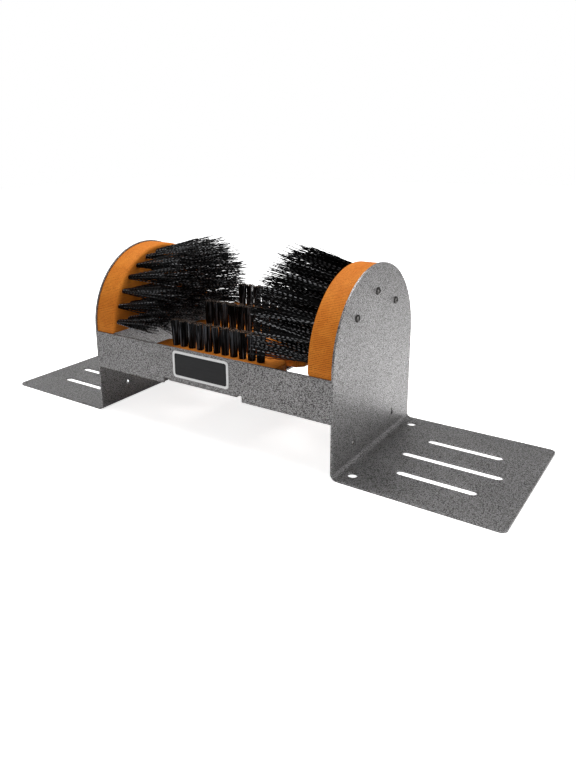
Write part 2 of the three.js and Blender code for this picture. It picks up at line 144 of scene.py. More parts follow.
def linear(hex_code: str) -> tuple[float, float, float, float]:
    """Turn an sRGB hex colour into the linear RGBA that a shader takes.

    Args:
        hex_code: A colour such as "#8A8A8C".

    Returns:
        The linear colour, with alpha 1.
    """
    channels = [int(hex_code[start:start + 2], 16) / 255 for start in (1, 3, 5)]
    light = [c / 12.92 if c <= 0.04045 else ((c + 0.055) / 1.055) ** 2.4 for c in channels]
    return light[0], light[1], light[2], 1.0


def port(sockets: Sockets, key: Union[int, str]) -> bpy.types.NodeSocket:
    """Find a node's socket by its place, or by name among the ones in use.

    Args:
        sockets: The node's inputs or outputs.
        key: The socket's index, or its name, or "" for the first one in use.

    Returns:
        The socket.
    """
    if isinstance(key, int):
        return sockets[key]
    return next(socket for socket in sockets if socket.enabled and key in ("", socket.name))


def feed(node: bpy.types.Node, inputs: dict[Union[int, str], Socket]) -> None:
    """Link or set a node's inputs.

    Args:
        node: The node.
        inputs: For each input, by place or name, a socket to link from or a constant to set.
    """
    for key, value in inputs.items():
        socket = port(node.inputs, key)
        if isinstance(value, bpy.types.NodeSocket):
            node.id_data.links.new(value, socket)
        else:
            socket.default_value = value


def add_node(tree: bpy.types.NodeTree, kind: str, *values: Socket, out: str = "",
             **options: Socket) -> bpy.types.NodeSocket:
    """Add a node to a tree, with its settings, its constants and the links into it.

    Args:
        tree: The shader or geometry tree.
        kind: The node's type.
        *values: What to link or set on the first inputs, in their order. On a node for maths,
            the operation comes before them.
        out: The name of the output wanted, if it isn't the first one in use.
        **options: With a capital, an input by name, its spaces as underscores. Without one, a
            property of the node.

    Returns:
        The output wanted.
    """
    node = tree.nodes.new(kind)
    if kind in (MATH, VECTOR):
        node.operation, *values = values
    inputs = dict(enumerate(values))
    for name, value in options.items():
        if name[0].isupper():
            inputs[name.replace("_", " ")] = value
        else:
            setattr(node, name, value)
    feed(node, inputs)
    return port(node.outputs, out)


def new_object(name: str, data: bpy.types.ID) -> bpy.types.Object:
    """Link a new object to the scene, at the origin.

    Args:
        name: The object's name.
        data: The mesh, lamp or camera that it holds.

    Returns:
        The object.
    """
    holder = bpy.data.objects.new(name, data)
    bpy.context.scene.collection.objects.link(holder)
    return holder


def mesh_from(bm: bmesh.types.BMesh, name: str) -> bpy.types.Mesh:
    """Close a bmesh into a new mesh whose faces point outwards.

    Args:
        bm: The bmesh, which is freed.
        name: The mesh's name.

    Returns:
        The mesh.
    """
    bmesh.ops.recalc_face_normals(bm, faces=bm.faces)
    mesh = bpy.data.meshes.new(name)
    bm.to_mesh(mesh)
    bm.free()
    return mesh


def lofted(name: str, rings: Sequence[Sequence[Vector]]) -> bpy.types.Object:
    """Skin a row of rings of points into one closed piece.

    Args:
        name: The piece's name.
        rings: The rings, in metres, all with as many points.

    Returns:
        The piece, whose first and last faces close its two ends.
    """
    bm = bmesh.new()
    loops = [[bm.verts.new(point) for point in ring] for ring in rings]
    bm.faces.new(loops[0])
    for lower, upper in zip(loops, loops[1:]):
        for index, vert in enumerate(lower):
            following = (index + 1) % len(lower)
            bm.faces.new((vert, lower[following], upper[following], upper[index]))
    bm.faces.new(loops[-1])
    return new_object(name, mesh_from(bm, name))


def baked(piece: bpy.types.Object) -> bpy.types.Object:
    """Turn a piece with live modifiers into a plain mesh.

    Args:
        piece: The object, whose modifiers are applied and removed.

    Returns:
        The same object, holding the evaluated mesh.
    """
    evaluated = piece.evaluated_get(bpy.context.evaluated_depsgraph_get())
    mesh = bpy.data.meshes.new_from_object(evaluated)
    mesh.name = piece.name
    piece.modifiers.clear()
    old = piece.data
    piece.data = mesh
    bpy.data.meshes.remove(old)
    return piece


def smoothed(piece: bpy.types.Object, sharp_degrees: float) -> bpy.types.Object:
    """Shade a piece smooth.

    Args:
        piece: The object.
        sharp_degrees: Edges sharper than this stay sharp.

    Returns:
        The same object.
    """
    piece.data.shade_smooth()
    piece.data.set_sharp_from_angle(angle=math.radians(sharp_degrees))
    return piece


def softened(piece: bpy.types.Object, width_mm: float, segments: int,
             above_degrees: float) -> bpy.types.Object:
    """Give a piece's sharp edges a small round, with flat faces left flat.

    Args:
        piece: The object.
        width_mm: How far in the round starts.
        segments: Its steps.
        above_degrees: Only edges sharper than this are rounded.

    Returns:
        The piece, as a plain mesh.
    """
    piece.data.shade_smooth()
    bevel = piece.modifiers.new("edge_round", "BEVEL")
    bevel.width = width_mm * MM
    bevel.segments = segments
    bevel.limit_method = "ANGLE"
    bevel.angle_limit = math.radians(above_degrees)
    bevel.use_clamp_overlap = True
    flat = piece.modifiers.new("flat_faces", "WEIGHTED_NORMAL")
    flat.weight = 100
    flat.keep_sharp = True
    return baked(piece)


def dress(piece: bpy.types.Object, *materials: bpy.types.Material) -> None:
    """Give a piece its materials, in place of any that it has.

    Args:
        piece: The piece, or a CAD node.
        *materials: The materials, by slot.
    """
    piece.data.materials.clear()
    for material in materials:
        piece.data.materials.append(material)


def place(piece: bpy.types.Object, slot: str, *nodes: str) -> None:
    """Ride a finished piece on the body, in place of the CAD nodes that it stands for.

    Args:
        piece: The finished piece.
        slot: The record's material slot; not used.
        *nodes: The CAD nodes that the piece replaces.
    """
    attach(piece, "root")
    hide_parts(*nodes)
    LOG.info("%s: %d faces, for %s", piece.name, len(piece.data.polygons), ", ".join(nodes))


# Finishes


@dataclass(frozen=True)
class Finish:
    """A surface, named for what it is made of."""

    name: str

    def shader_inputs(self, add: AddNode) -> dict[str, Socket]:
        """Add the finish's nodes and give what goes into its Principled shader."""
        raise NotImplementedError

    def material(self) -> bpy.types.Material:
        """Build the material.

        Returns:
            The material, with every pattern at its size in millimetres on object coordinates.
        """
        material = bpy.data.materials.new(self.name)
        material.use_nodes = True
        tree = material.node_tree
        feed(tree.nodes["Principled BSDF"], self.shader_inputs(partial(add_node, tree)))
        return material


@dataclass(frozen=True)
class HammertonePaint(Finish):
    """Silver-grey hammertone powder coat, baked on folded steel.

    The powder flows into small pebbles with valleys between them. Light and shade on this relief
    are painted into the colour: the crests lighter and the valleys darker, so light seems to break
    into fine bright grains. Its aluminium flake gives a broad, soft sheen, and is drawn far coarser
    than it is, so that it shows.
    """

    name: str = "hammertone_powder_coat"
    # Painted light and shade on the relief: crests drawn lighter, valleys darker.
    crest: str = "#A1A0A0"
    valley: str = "#504E4E"
    pebble_mm: float = 1.0
    pebble_softness: float = 0.35
    warp_rate: float = 0.6
    warp_reach: float = 1.1
    valley_span: Span = (0.34, 0.66)
    flake_mm: float = 0.9
    flake_share: float = 0.4
    flake_offset: float = 0.15
    relief_mm: float = 0.18
    drift_mm: float = 70.0
    drift_span: Span = (0.3, 0.7)
    drift_gain: Span = (0.9, 1.06)
    roughness: Span = (0.22, 0.4)
    metallic: float = 0.8
    specular: float = 0.3

    def shader_inputs(self, add: AddNode) -> dict[str, Socket]:
        """Bend a cell pattern into pebbles, with flake in the colour and in the gloss.

        Args:
            add: Adds a node.

        Returns:
            The shader's inputs.
        """
        at = add(COORDINATES, out="Object")
        pebble = self.pebble_mm * MM
        warp = add(NOISE, Vector=at, Scale=self.warp_rate / pebble, Detail=1.0, out="Color")
        bent = add(VECTOR, "MULTIPLY_ADD", warp, (self.warp_reach * pebble,) * 3, at)
        cells = add("ShaderNodeTexVoronoi", Vector=bent, Scale=1 / pebble,
                    Smoothness=self.pebble_softness, feature="SMOOTH_F1")
        valley = add(RANGE, cells, *self.valley_span, interpolation_type="SMOOTHSTEP")
        flake = add(NOISE, Vector=at, Scale=1 / (self.flake_mm * MM), Detail=2.0)
        grain = add(MATH, "MULTIPLY_ADD", flake, self.flake_share, valley)
        tone = add(MATH, "SUBTRACT", grain, self.flake_offset, use_clamp=True)
        # Painted light and shade: lit crests lighter, shaded valleys darker.
        paint = add(MIX, Factor=tone, A=linear(self.crest), B=linear(self.valley), data_type="RGBA")
        drift = add(NOISE, Vector=at, Scale=1 / (self.drift_mm * MM), Detail=3.0)
        gain = add(RANGE, drift, *self.drift_span, *self.drift_gain)
        height = add(MATH, "SUBTRACT", 1.0, valley)
        return {
            "Base Color": add(VECTOR, "SCALE", paint, Scale=gain),
            "Roughness": add(RANGE, flake, 0.0, 1.0, *self.roughness),
            "Normal": add(BUMP, Height=height, Distance=self.relief_mm * MM),
            "Metallic": self.metallic,
            "Specular IOR Level": self.specular,
        }


@dataclass(frozen=True)
class StainedWood(Finish):
    """Hardwood, orange stained and sealed, straight from the shaper.

    The knives leave fine ripples across the grain, which fade on a block's flat face. The stain
    sits darker in the pores and in the ripples, and the sealer gives a dull satin gloss. The
    pores are drawn coarser than they are, so that they show.
    """

    cut: Cut
    pale: str = "#E08C36"
    body: str = "#BE6620"
    pore: str = "#5E2B06"
    fibre_mm: float = 1.1
    fibre_harshness: float = 0.6
    figure_mm: float = 14.0
    figure_bend: float = 0.6
    ripple_mm: float = 1.9
    ripple_depth: float = 0.26
    wander_mm: float = 16.0
    wander_waves: float = 2.2
    face_span: Span = (0.9, 0.5)
    face_gain: Span = (0.15, 1.0)
    stain_span: Span = (0.3, 0.85)
    pore_power: float = 2.2
    pore_share: float = 0.75
    relief_mm: float = 0.12
    roughness: Span = (0.48, 0.73)
    specular: float = 0.05

    def shader_inputs(self, add: AddNode) -> dict[str, Socket]:
        """Run the grain along Y on a block and along X on a bar, with ripples along the cut.

        Args:
            add: Adds a node.

        Returns:
            The shader's inputs.
        """
        at = add(COORDINATES, out="Object")
        along, across = self.cut.value
        stretched = add(VECTOR, "MULTIPLY", at, along)
        fibre = add(NOISE, Vector=stretched, Scale=1 / (self.fibre_mm * MM), Detail=4.0,
                    Roughness=self.fibre_harshness)
        figure = add(NOISE, Vector=stretched, Scale=1 / (self.figure_mm * MM), Detail=2.0,
                     Distortion=self.figure_bend)
        x, y, z = add("ShaderNodeSeparateXYZ", at).node.outputs
        if self.cut is Cut.ARCH:
            rise = add(MATH, "SUBTRACT", z, ARCH_CENTRE_MM * MM)
            angle = add(MATH, "ARCTAN2", rise, y)
            travel = add(MATH, "MULTIPLY", angle, ARCH_RADIUS_MM / self.ripple_mm)
        else:
            travel = add(MATH, "MULTIPLY", x, 1 / (self.ripple_mm * MM))
        calmed = add(VECTOR, "MULTIPLY", at, across)
        wander = add(NOISE, Vector=calmed, Scale=1 / (self.wander_mm * MM), Detail=2.0)
        phase = add(MATH, "MULTIPLY_ADD", wander, self.wander_waves, travel)
        wave = add(MATH, "SINE", add(MATH, "MULTIPLY", phase, 2 * math.pi))
        facing = add("ShaderNodeSeparateXYZ", add("ShaderNodeNewGeometry", out="Normal"), out="X")
        end_on = add(MATH, "ABSOLUTE", facing)
        rim = add(RANGE, end_on, *self.face_span, *self.face_gain)
        ripple = add(MATH, "MULTIPLY", wave, rim)
        rippled = add(MATH, "MULTIPLY_ADD", ripple, self.ripple_depth, fibre)
        stain = add(RANGE, rippled, *self.stain_span)
        pores = add(MATH, "POWER", stain, self.pore_power)
        ground = add(MIX, Factor=figure, A=linear(self.pale), B=linear(self.body), data_type="RGBA")
        return {
            "Base Color": add(MIX, Factor=add(MATH, "MULTIPLY", pores, self.pore_share),
                              A=ground, B=linear(self.pore), data_type="RGBA"),
            "Roughness": add(RANGE, fibre, 0.0, 1.0, *self.roughness),
            "Normal": add(BUMP, Height=rippled, Distance=self.relief_mm * MM, invert=True),
            "Specular IOR Level": self.specular,
        }


@dataclass(frozen=True)
class StiffBristle(Finish):
    """Black polypropylene bristle, drawn, cut and left shiny.

    The light that a strand catches is painted into its colour as a thin line of highlight, which
    a crimped strand breaks into dashes. Each cut tip is drawn a little paler, partly the dull cut
    end and partly a painted highlight. Only a few strands carry the painted highlight, the fewer
    the higher the rarity.
    """

    body: str = "#020202"
    # Colour of the painted highlight dashes.
    glint: str = "#C4C6CA"
    tip: str = "#4E4C4B"
    crimp_mm: float = 6.5
    length_mm: float = 80.0
    rarity: float = 7.0
    phase_spread: float = 40.0
    dash_span: Span = (-0.5, 0.5)
    tip_span: Span = (0.985, 1.0)
    tip_share: float = 0.9
    relief_mm: float = 0.12
    roughness: float = 0.36
    specular: float = 0.06

    def shader_inputs(self, add: AddNode) -> dict[str, Socket]:
        """Draw the dashes and the tip by the strands' own "along" and "shade" attributes.

        Args:
            add: Adds a node.

        Returns:
            The shader's inputs.
        """
        along = add("ShaderNodeAttribute", attribute_name="along", out="Fac")
        shade = add("ShaderNodeAttribute", attribute_name="shade", out="Fac")
        waves = 2 * math.pi * self.length_mm / self.crimp_mm
        start = add(MATH, "MULTIPLY", shade, self.phase_spread)
        turn = add(MATH, "MULTIPLY_ADD", along, waves, start)
        wave = add(MATH, "SINE", turn)
        dash = add(RANGE, wave, *self.dash_span, interpolation_type="SMOOTHSTEP")
        share = add(MATH, "POWER", shade, self.rarity)
        # Painted highlight: bright dashes drawn into a few strands' colour.
        drawn = add(MIX, Factor=add(MATH, "MULTIPLY", dash, share),
                    A=linear(self.body), B=linear(self.glint), data_type="RGBA")
        # The tip is drawn paler: partly the dull cut end, partly a painted highlight.
        end = add(RANGE, along, *self.tip_span, 0.0, self.tip_share)
        return {
            "Base Color": add(MIX, Factor=end, A=drawn, B=linear(self.tip), data_type="RGBA"),
            "Normal": add(BUMP, Height=wave, Distance=self.relief_mm * MM),
            "Roughness": self.roughness,
            "Specular IOR Level": self.specular,
        }


@dataclass(frozen=True)
class ZincPlate(Finish):
    """Bright zinc plate on a pressed steel screw: grey metal with a faint cloudy bloom."""

    name: str = "zinc_plated_steel"
    bright: str = "#605F5D"
    cloud: str = "#383736"
    bloom_mm: float = 1.6
    roughness: Span = (0.24, 0.54)

    def shader_inputs(self, add: AddNode) -> dict[str, Socket]:
        """Cloud the colour and the gloss together.

        Args:
            add: Adds a node.

        Returns:
            The shader's inputs.
        """
        at = add(COORDINATES, out="Object")
        bloom = add(NOISE, Vector=at, Scale=1 / (self.bloom_mm * MM), Detail=4.0)
        return {
            "Base Color": add(MIX, Factor=bloom, A=linear(self.bright), B=linear(self.cloud),
                              data_type="RGBA"),
            "Roughness": add(RANGE, bloom, 0.0, 1.0, *self.roughness),
            "Metallic": 1.0,
        }


@dataclass(frozen=True)
class PrintedFoil(Finish):
    """Foil label stock: a smooth printed skin over a faint grain, rolled along X."""

    ink: str
    worn: str
    roughness: Span
    specular: float = 0.5
    grain_mm: float = 0.8
    grain_stretch: Point = (0.04, 1.0, 1.0)
    relief_mm: float = 0.01
    relief_strength: float = 0.6

    def shader_inputs(self, add: AddNode) -> dict[str, Socket]:
        """Roll the grain out and show it faintly in the ink, the gloss and the relief.

        Args:
            add: Adds a node.

        Returns:
            The shader's inputs.
        """
        rolled = add(VECTOR, "MULTIPLY", add(COORDINATES, out="Object"), self.grain_stretch)
        grain = add(NOISE, Vector=rolled, Scale=1 / (self.grain_mm * MM), Detail=3.0)
        return {
            "Base Color": add(MIX, Factor=grain, A=linear(self.ink), B=linear(self.worn),
                              data_type="RGBA"),
            "Roughness": add(RANGE, grain, 0.0, 1.0, *self.roughness),
            "Normal": add(BUMP, Height=grain, Distance=self.relief_mm * MM,
                          Strength=self.relief_strength),
            "Specular IOR Level": self.specular,
        }


@dataclass(frozen=True)
class Glow:
    """How bright the paper looks to one kind of ray, near a middle point and far from it."""

    ray: str
    middle_m: Point
    span_m: Span
    levels: Span


@dataclass(frozen=True)
class SweepPaper(Finish):
    """Matt white sweep paper, which glows a little and keeps the shadow.

    The camera sees it rise to white away from the object. Only gloss sees a painted pool of
    light, a glowing patch behind the right end, and painted shade where the object stands close
    over it.
    """

    name: str = "white_sweep_paper"
    white: str = "#F2F2F2"
    roughness: float = 0.9
    seen: Glow = Glow("Is Camera Ray", (0.0, 0.0, 0.0), (0.5, 1.6), (0.76, 1.0))
    # A painted pool of light that only gloss sees, behind the right end.
    mirrored: Glow = Glow("Is Glossy Ray", (0.3, 0.35, 0.0), (0.15, 0.6), (1.0, 0.12))
    contact_m: float = 0.12
    contact_samples: int = 6

    def shader_inputs(self, add: AddNode) -> dict[str, Socket]:
        """Add up what the camera and what gloss see of the glow.

        Args:
            add: Adds a node.

        Returns:
            The shader's inputs.
        """
        at = add(COORDINATES, out="Object")
        rays = add("ShaderNodeLightPath").node.outputs
        parts = []
        for glow in (self.seen, self.mirrored):
            away = add(VECTOR, "DISTANCE", at, glow.middle_m)
            level = add(RANGE, away, *glow.span_m, *glow.levels, interpolation_type="SMOOTHSTEP")
            parts.append(add(MATH, "MULTIPLY", rays[glow.ray], level))
        # Painted shade: ambient occlusion dims the glossy pool where the object stands close.
        open_sky = add("ShaderNodeAmbientOcclusion", Distance=self.contact_m,
                       samples=self.contact_samples, out="AO")
        return {
            "Base Color": linear(self.white),
            "Roughness": self.roughness,
            "Specular IOR Level": 0.0,
            "Emission Color": WHITE,
            "Emission Strength": add(MATH, "MULTIPLY_ADD", parts[1], open_sky, parts[0]),
        }


# Geometry Nodes for what repeats


@dataclass(frozen=True)
class Spot:
    """Where a recipe plants one shape.

    It reaches from its root along a vector. "across" is a unit vector square to that, and
    "splay" says how much wider than usual its tip is.
    """

    root: Vector
    reach: Vector
    across: Vector
    splay: float = 1.0


@dataclass
class NodeRecipe:
    """A Geometry Nodes tree with named inputs, and the way to plant its shapes."""

    name: str
    tree: bpy.types.NodeTree = field(init=False)
    kinds: ClassVar[dict[str, str]]

    def __post_init__(self) -> None:
        """Start the tree with its inputs and its output, and fill it."""
        self.tree = bpy.data.node_groups.new(self.name, "GeometryNodeTree")
        panel = self.tree.interface
        for name, kind in {"Geometry": "Geometry", **self.kinds}.items():
            panel.new_socket(name, in_out="INPUT", socket_type=f"NodeSocket{kind}")
        panel.new_socket("Geometry", in_out="OUTPUT", socket_type="NodeSocketGeometry")
        given = self.tree.nodes.new("NodeGroupInput").outputs
        result = self.build(partial(add_node, self.tree), given)
        feed(self.tree.nodes.new("NodeGroupOutput"), {0: result})

    def build(self, add: AddNode, given: Sockets) -> bpy.types.NodeSocket:
        """Add the tree's nodes and return the socket that holds its result."""
        raise NotImplementedError

    def run(self, name: str, spots: Sequence[Spot], sharp_degrees: float,
            **values: Socket) -> bpy.types.Object:
        """Run the tree once, on one vertex to a spot, and keep the result as a plain mesh.

        Args:
            name: The piece's name.
            spots: Where each shape goes.
            sharp_degrees: Edges sharper than this stay sharp.
            **values: A value for each input, with spaces in its name as underscores.

        Returns:
            The piece.
        """
        mesh = bpy.data.meshes.new(name)
        mesh.from_pydata([tuple(spot.root) for spot in spots], [], [])
        for key in ("reach", "across"):
            layer = mesh.attributes.new(key, "FLOAT_VECTOR", "POINT")
            parts = [part for spot in spots for part in getattr(spot, key)]
            layer.data.foreach_set("vector", parts)
        widths = mesh.attributes.new("splay", "FLOAT", "POINT")
        widths.data.foreach_set("value", [spot.splay for spot in spots])
        piece = new_object(name, mesh)
        modifier = piece.modifiers.new(self.name, "NODES")
        modifier.node_group = self.tree
        for item in self.tree.interface.items_tree:
            key = item.name.lower().replace(" ", "_")
            if item.in_out == "INPUT" and key in values:
                modifier[item.identifier] = values[key]
        return smoothed(baked(piece), sharp_degrees)


@dataclass(frozen=True)
class Tuft:
    """The make of a tuft: its strands, how far they spread and stray, and its core."""

    strands: int
    steps: int
    sides: int
    strand_radius_mm: float
    root_radius_mm: float
    tip_radius_mm: float
    length_spread: float
    stray_mm: float
    crimp_mm: float
    core_height_mm: float

    def values(self) -> dict[str, float]:
        """Name the sizes as the recipe's inputs, with lengths in metres."""
        return {key.removesuffix("_mm"): size * MM if key.endswith("_mm") else size
                for key, size in asdict(self).items()}


@dataclass
class TuftRecipe(NodeRecipe):
    """Plants a tuft of bristle strands on each vertex.

    A vertex has a "reach" vector from the tuft's root to the middle of its tip, an "across"
    vector square to it and a "splay" that widens its tip. Each strand keeps an "along" value, 0
    at its root and 1 at its tip, and a "shade" value of its own. A short core fills the root.
    """

    bend_power: float = 1.2
    rooting_rate: float = 2.5
    wave_spread: float = 50.0
    length_seed: int = 17
    core_sides: int = 14
    core_share: float = 0.9
    kinds: ClassVar[dict[str, str]] = {
        "Strands": "Int", "Steps": "Int", "Sides": "Int", "Strand Radius": "Float",
        "Root Radius": "Float", "Tip Radius": "Float", "Length Spread": "Float",
        "Stray": "Float", "Crimp": "Float", "Core Height": "Float", "Seed": "Int",
        "Material": "Material",
    }

    def build(self, add: AddNode, given: Sockets) -> bpy.types.NodeSocket:
        """Draw one curve to a strand, shape it by its attributes and skin it.

        Args:
            add: Adds a node.
            given: The tree's inputs.

        Returns:
            The socket that holds the tufts.
        """
        points = add(POINTS, given["Geometry"])
        kept = add("GeometryNodeDuplicateElements", points, Amount=given["Strands"])
        order = kept.node.outputs["Duplicate Index"]
        reach = add(STORED, "reach", data_type="FLOAT_VECTOR")
        across = add(STORED, "across", data_type="FLOAT_VECTOR")
        splay = add(STORED, "splay")
        over = add(VECTOR, "NORMALIZE", add(VECTOR, "CROSS_PRODUCT", reach, across))

        # A sunflower spiral spreads the strands evenly over the tuft's round, and a random angle
        # sets the way in which each one is crimped.
        half_step = add(MATH, "ADD", order, 0.5)
        share = add(MATH, "DIVIDE", half_step, given["Strands"])
        shade = add(RANDOM, Seed=given["Seed"])
        swings = []
        for angle, size in (
            (add(MATH, "MULTIPLY", order, GOLDEN_ANGLE), add(MATH, "SQRT", share)),
            (add(MATH, "MULTIPLY", shade, self.wave_spread), 1.0),
        ):
            parts = []
            for operation, direction in (("COSINE", across), ("SINE", over)):
                part = add(MATH, "MULTIPLY", add(MATH, operation, angle), size)
                parts.append(add(VECTOR, "SCALE", direction, Scale=part))
            swings.append(add(VECTOR, "ADD", *parts))

        stray = add(RANDOM, (-1.0,) * 3, (1.0,) * 3, Seed=given["Seed"], data_type="FLOAT_VECTOR")
        stray_size = add(MATH, "MULTIPLY", given["Stray"], splay)
        shortest = add(MATH, "SUBTRACT", 1.0, given["Length Spread"])
        length_seed = add(MATH, "ADD", given["Seed"], self.length_seed)
        length = add(RANDOM, Min=shortest, Max=1.0, Seed=length_seed)
        for name, value in (
            ("root", add("GeometryNodeInputPosition")),
            ("spot", swings[0]),
            ("stray", add(VECTOR, "SCALE", stray, Scale=stray_size)),
            ("reach", add(VECTOR, "SCALE", reach, Scale=length)),
            ("wave", swings[1]),
        ):
            kept = add(STORE, kept, Name=f"strand_{name}", Value=value, data_type="FLOAT_VECTOR")
        for name, value in (("strand_splay", splay), ("shade", shade)):
            kept = add(STORE, kept, Name=name, Value=value)

        line = add("GeometryNodeCurvePrimitiveLine")
        stepped = add("GeometryNodeResampleCurve", line, Count=given["Steps"])
        curves = add(REALIZE, add(INSTANCES, kept, Instance=stepped))
        factor = add("GeometryNodeSplineParameter", out="Factor")
        widened = add(STORED, "strand_splay")
        widest = add(MATH, "MULTIPLY", given["Tip Radius"], widened)
        fan = add(RANGE, factor, 0.0, 1.0, given["Root Radius"], widest)
        bend = add(MATH, "POWER", factor, self.bend_power)
        parity = add(MATH, "MODULO", factor.node.outputs["Index"], 2.0)
        zigzag = add(MATH, "MULTIPLY_ADD", parity, 2.0, -1.0)
        crimp = add(MATH, "MULTIPLY", zigzag, given["Crimp"])
        rooted = add(MATH, "MULTIPLY", factor, self.rooting_rate, use_clamp=True)
        swing = add(MATH, "MULTIPLY", crimp, rooted)
        total = add(STORED, "strand_root", data_type="FLOAT_VECTOR")
        for name, amount in (("reach", factor), ("spot", fan), ("stray", bend), ("wave", swing)):
            whole = add(STORED, f"strand_{name}", data_type="FLOAT_VECTOR")
            part = add(VECTOR, "SCALE", whole, Scale=amount)
            total = add(VECTOR, "ADD", total, part)
        shaped = add("GeometryNodeSetPosition", curves, Position=total)
        marked = add(STORE, shaped, Name="along", Value=factor)
        ring = add("GeometryNodeCurvePrimitiveCircle", Resolution=given["Sides"],
                   Radius=given["Strand Radius"])
        skinned = add("GeometryNodeCurveToMesh", marked, Profile_Curve=ring, Fill_Caps=True)

        core_depth = add(MATH, "MULTIPLY", given["Core Height"], 2.0)
        core_radius = add(MATH, "MULTIPLY", given["Root Radius"], self.core_share)
        core = add("GeometryNodeMeshCylinder", Vertices=self.core_sides, Radius=core_radius,
                   Depth=core_depth)
        cores = add(INSTANCES, points, Instance=core, Rotation=add(UPRIGHT, Vector=reach))
        joined = add("GeometryNodeJoinGeometry", skinned)
        feed(joined.node, {0: cores})
        cleaned = add("GeometryNodeRemoveAttribute", add(REALIZE, joined), Name="strand_*",
                      pattern_mode="WILDCARD")
        return add(SET_MATERIAL, cleaned, Material=given["Material"])


@dataclass
class ScrewRecipe(NodeRecipe):
    """Sets a copy of one screw on each vertex, its head along "reach", each turned further."""

    kinds: ClassVar[dict[str, str]] = {"Screw": "Object", "Turn": "Float", "Material": "Material"}

    def build(self, add: AddNode, given: Sockets) -> bpy.types.NodeSocket:
        """Stand the screw along each reach and turn it.

        Args:
            add: Adds a node.
            given: The tree's inputs.

        Returns:
            The socket that holds the screws.
        """
        screw = add("GeometryNodeObjectInfo", given["Screw"], out="Geometry")
        upright = add(UPRIGHT, Vector=add(STORED, "reach", data_type="FLOAT_VECTOR"))
        angle = add(MATH, "MULTIPLY", add("GeometryNodeInputIndex"), given["Turn"])
        spin = add("FunctionNodeAxisAngleToRotation", Angle=angle)
        turned = add("FunctionNodeRotateRotation", upright, spin, rotation_space="LOCAL")
        screws = add(INSTANCES, add(POINTS, given["Geometry"]), Instance=screw, Rotation=turned)
        return add(SET_MATERIAL, add(REALIZE, screws), Material=given["Material"])


# Sub-assemblies


@dataclass
class SteelFrame:
    """The folded steel: two end plates, each with its foot plate, and the cross frame."""

    paint: HammertonePaint
    edge_mm: float = 0.55
    edge_steps: int = 2
    sharper_than: float = 50.0
    weld_mm: float = 0.002
    flat_degrees: float = 0.5

    def refined(self, node: bpy.types.Object, name: str) -> bpy.types.Object:
        """Copy a CAD sheet and give its cut edges the small round that thick powder coat leaves.

        Args:
            node: The CAD node.
            name: The new piece's name.

        Returns:
            The piece.
        """
        bm = bmesh.new()
        bm.from_mesh(node.data)
        bmesh.ops.remove_doubles(bm, verts=bm.verts, dist=self.weld_mm * MM)
        bmesh.ops.dissolve_limit(
            bm, angle_limit=math.radians(self.flat_degrees), verts=bm.verts, edges=bm.edges)
        piece = new_object(name, mesh_from(bm, name))
        return softened(piece, self.edge_mm, self.edge_steps, self.sharper_than)

    def build(self, frame: dict) -> None:
        """Build and place the three sheets.

        Args:
            frame: The loaded frame.
        """
        paint = self.paint.material()
        for node in ("end_plate_right", "end_plate_left", "cross_frame"):
            piece = self.refined(frame["nodes"][node], f"{node}_coated")
            dress(piece, paint)
            place(piece, "frame_paint", node)


@dataclass
class NamePlate:
    """The plate on the front rail, left blank: a pale rim round a dark, slightly sunk field."""

    rim_finish: PrintedFoil
    field_finish: PrintedFoil
    width_mm: float = 85.0
    height_mm: float = 34.0
    thickness_mm: float = 0.8
    top_mm: float = 110.0
    rail_face_mm: float = -101.5
    corner_mm: float = 4.5
    least_corner_mm: float = 0.5
    corner_shrink: float = 0.6
    corner_steps: int = 8
    rim_mm: float = 3.1
    recess_mm: float = 0.25
    edge_mm: float = 0.2
    sharp_degrees: float = 30.0

    def outline(self, inset_mm: float, depth_mm: float) -> list[Vector]:
        """Trace the plate's rounded rectangle.

        Args:
            inset_mm: How far inside the plate's edge.
            depth_mm: How far out from the rail's face.

        Returns:
            The points, in metres.
        """
        radius = max(self.corner_mm - self.corner_shrink * inset_mm, self.least_corner_mm)
        half_w = self.width_mm / 2 - inset_mm - radius
        half_h = self.height_mm / 2 - inset_mm - radius
        middle = self.top_mm - self.height_mm / 2
        points = []
        for corner, (sx, sz) in enumerate(((1, 1), (-1, 1), (-1, -1), (1, -1))):
            for step in range(self.corner_steps + 1):
                angle = (corner + step / self.corner_steps) * math.pi / 2
                points.append(Vector((
                    sx * half_w + radius * math.cos(angle),
                    self.rail_face_mm - depth_mm,
                    middle + sz * half_h + radius * math.sin(angle))) * MM)
        return points

    def build(self) -> None:
        """Build and place the plate, whose last face is the field."""
        rings = (
            (0.0, 0.0), (0.0, self.thickness_mm - self.edge_mm), (self.edge_mm, self.thickness_mm),
            (self.rim_mm - self.edge_mm, self.thickness_mm),
            (self.rim_mm, self.thickness_mm - self.recess_mm),
        )
        piece = lofted("name_plate_blank", [self.outline(inset, depth) for inset, depth in rings])
        dress(piece, self.rim_finish.material(), self.field_finish.material())
        piece.data.polygons[-1].material_index = 1
        place(smoothed(piece, self.sharp_degrees), "name_plate", "name_plate")


